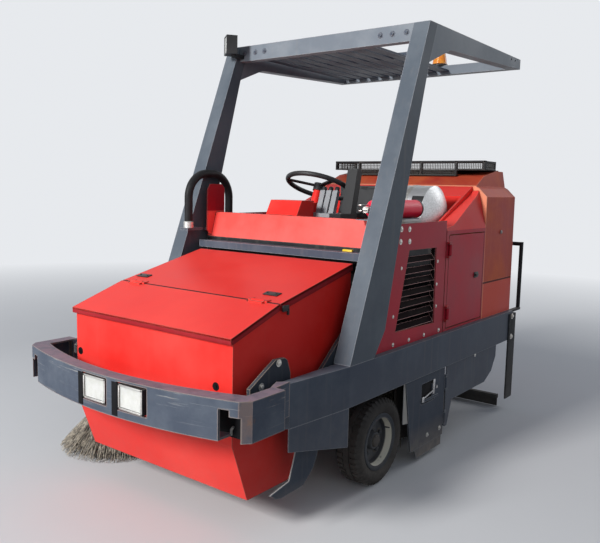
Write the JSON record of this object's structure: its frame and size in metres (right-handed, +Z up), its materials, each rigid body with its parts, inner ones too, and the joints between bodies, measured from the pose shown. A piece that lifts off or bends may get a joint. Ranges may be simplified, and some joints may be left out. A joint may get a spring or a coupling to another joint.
{
  "type": "ride-on sweeper-scrubber",
  "caption": "Ride-on floor sweeper and scrubber with a front debris hopper, slatted overhead guard, side broom, louvred flanks and a rear solution tank.",
  "frame": {"origin": "on the floor under the middle of the front axle", "axes": "+X across the machine to the driver's left, +Y from the hopper to the rear, +Z up"},
  "size_m": [1.6629, 2.737, 2.1919],
  "materials": {
    "beacon_glass": "amber",
    "black_rubber": "matt rubber",
    "bristle": "stiff bristle",
    "dark_paint": "black enamel",
    "engine_iron": "oily iron",
    "extinguisher_red": "gloss red",
    "grey_paint": "worn mid-grey enamel",
    "grey_plastic": "matt grey",
    "lamp_glass": "pressed clear glass",
    "red_paint": "sun-faded red enamel",
    "seat_vinyl": "black vinyl",
    "tank_red": "sun-bleached orange-red moulded tank",
    "tank_steel": "pale enamel",
    "tyre": "dusty rubber",
    "wheel_paint": "pale grey enamel"
  },
  "bodies": {
    "chassis": {"side_sills": "grey_paint", "cross_members": "dark_paint", "front_bumper": "grey_paint", "headlamps": "dark_paint", "lamp_glass": "lamp_glass", "wheel_motors": "dark_paint", "guard_posts": "grey_paint", "guard_frame": "grey_paint", "guard_slats": "grey_paint", "beacon": "beacon_glass", "work_light": "dark_paint", "front_side_panels": "red_paint", "louvre_grilles": "dark_paint", "cowl": "red_paint", "hopper_rest_beam": "grey_paint", "floor_deck": "dark_paint", "dash": "red_paint", "lever_bank": "grey_plastic", "engine_cover": "red_paint", "seat_cushion": "seat_vinyl", "seat_back": "seat_vinyl", "engine_block": "engine_iron", "rear_side_panels": "red_paint", "rear_hood": "red_paint", "rear_tank": "tank_red", "rear_screen": "dark_paint", "fuel_tank": "tank_steel", "extinguisher": "extinguisher_red", "front_skirt": "black_rubber", "hopper_side_flap": "black_rubber", "rear_lower_panels": "grey_paint", "rear_corner_plates": "grey_paint", "rear_rail": "dark_paint", "arm_bearings": "dark_paint", "broom_plates": "dark_paint", "scrub_deck": "dark_paint", "hose": "black_rubber"},
    "left_front_wheel": {"front_tyre_left": "tyre", "front_wheel_left": "wheel_paint"},
    "right_front_wheel": {"front_tyre_right": "tyre", "front_wheel_right": "wheel_paint"},
    "rear_fork": {"steering_fork": "dark_paint"},
    "rear_road_wheel": {"rear_tyre": "tyre", "rear_wheel": "wheel_paint"},
    "steering_wheel": {"steering_wheel": "black_rubber"},
    "arms": {"lift_arms": "dark_paint"},
    "hopper": {"hopper": "red_paint", "hopper_cover": "red_paint"},
    "lid": {"hopper_lid": "red_paint"},
    "main_broom": {"main_broom": "bristle"},
    "front_scrub_brush": {"scrub_brush_front": "bristle"},
    "rear_scrub_brush": {"scrub_brush_rear": "bristle"},
    "side_broom_arm": {"side_broom_arm": "dark_paint"},
    "side_broom": {"side_broom": "bristle"},
    "squeegee": {"squeegee": "black_rubber"},
    "left_broom_door": {"broom_door_left": "grey_paint"},
    "right_broom_door": {"broom_door_right": "grey_paint"},
    "left_side_door": {"side_door_left": "red_paint"},
    "right_side_door": {"side_door_right": "red_paint"}
  },
  "joints": [
    {"name": "left_front_roll", "type": "hinge", "parent": "chassis", "child": "left_front_wheel", "pos_m": [0.5365, 0, 0.2], "axis": [1, 0, 0], "continuous": true},
    {"name": "right_front_roll", "type": "hinge", "parent": "chassis", "child": "right_front_wheel", "pos_m": [-0.5365, 0, 0.2], "axis": [1, 0, 0], "continuous": true},
    {"name": "rear_steer", "type": "hinge", "parent": "chassis", "child": "rear_fork", "pos_m": [0, 1.15, 0.5], "axis": [0, 0, 1], "range_deg": [-45, 45]},
    {"name": "rear_roll", "type": "hinge", "parent": "rear_fork", "child": "rear_road_wheel", "pos_m": [0, 1.15, 0.2], "axis": [1, 0, 0], "continuous": true},
    {"name": "steering_wheel_turn", "type": "hinge", "parent": "chassis", "child": "steering_wheel", "pos_m": [-0.09, 0.42, 1.35], "axis": [0, 0.3746, 0.9272], "continuous": true},
    {"name": "hopper_lift", "type": "hinge", "parent": "chassis", "child": "arms", "pos_m": [0, 0.12, 0.88], "axis": [-1, 0, 0], "range_deg": [0, 60]},
    {"name": "hopper_level", "type": "hinge", "parent": "arms", "child": "hopper", "pos_m": [0, -0.64, 0.52], "axis": [-1, 0, 0], "range_deg": [-51, 0]},
    {"name": "hopper_lid", "type": "hinge", "parent": "hopper", "child": "lid", "pos_m": [0, -0.597, 0.894], "axis": [-1, 0, 0], "range_deg": [0, 105]},
    {"name": "main_broom_spin", "type": "hinge", "parent": "chassis", "child": "main_broom", "pos_m": [0, 0.43, 0.162], "axis": [1, 0, 0], "continuous": true},
    {"name": "front_brush_spin", "type": "hinge", "parent": "chassis", "child": "front_scrub_brush", "pos_m": [0, 0.685, 0.082], "axis": [1, 0, 0], "continuous": true},
    {"name": "rear_brush_spin", "type": "hinge", "parent": "chassis", "child": "rear_scrub_brush", "pos_m": [0, 0.852, 0.082], "axis": [1, 0, 0], "continuous": true},
    {"name": "side_broom_swing", "type": "hinge", "parent": "chassis", "child": "side_broom_arm", "pos_m": [-0.575, -0.6, 0.33], "axis": [0, 0, 1], "range_deg": [0, 25]},
    {"name": "side_broom_spin", "type": "hinge", "parent": "side_broom_arm", "child": "side_broom", "pos_m": [-0.715, -0.44, 0.2], "axis": [0, 0, 1], "continuous": true},
    {"name": "squeegee_lift", "type": "hinge", "parent": "chassis", "child": "squeegee", "pos_m": [0, 1.425, 0.33], "axis": [1, 0, 0], "range_deg": [0, 30]},
    {"name": "left_broom_door_swing", "type": "hinge", "parent": "chassis", "child": "left_broom_door", "pos_m": [0.612, 0.612, 0.25], "axis": [0, 0, 1], "range_deg": [0, 100]},
    {"name": "right_broom_door_swing", "type": "hinge", "parent": "chassis", "child": "right_broom_door", "pos_m": [-0.612, 0.612, 0.25], "axis": [0, 0, -1], "range_deg": [0, 100]},
    {"name": "left_side_door_swing", "type": "hinge", "parent": "chassis", "child": "left_side_door", "pos_m": [0.6, 0.625, 0.87], "axis": [0, 0, -1], "range_deg": [0, 100]},
    {"name": "right_side_door_swing", "type": "hinge", "parent": "chassis", "child": "right_side_door", "pos_m": [-0.6, 0.625, 0.87], "axis": [0, 0, 1], "range_deg": [0, 100]}
  ],
  "couplings": [
    {"joint": "hopper_level", "follows": "hopper_lift", "ratio": -0.85}
  ]
}
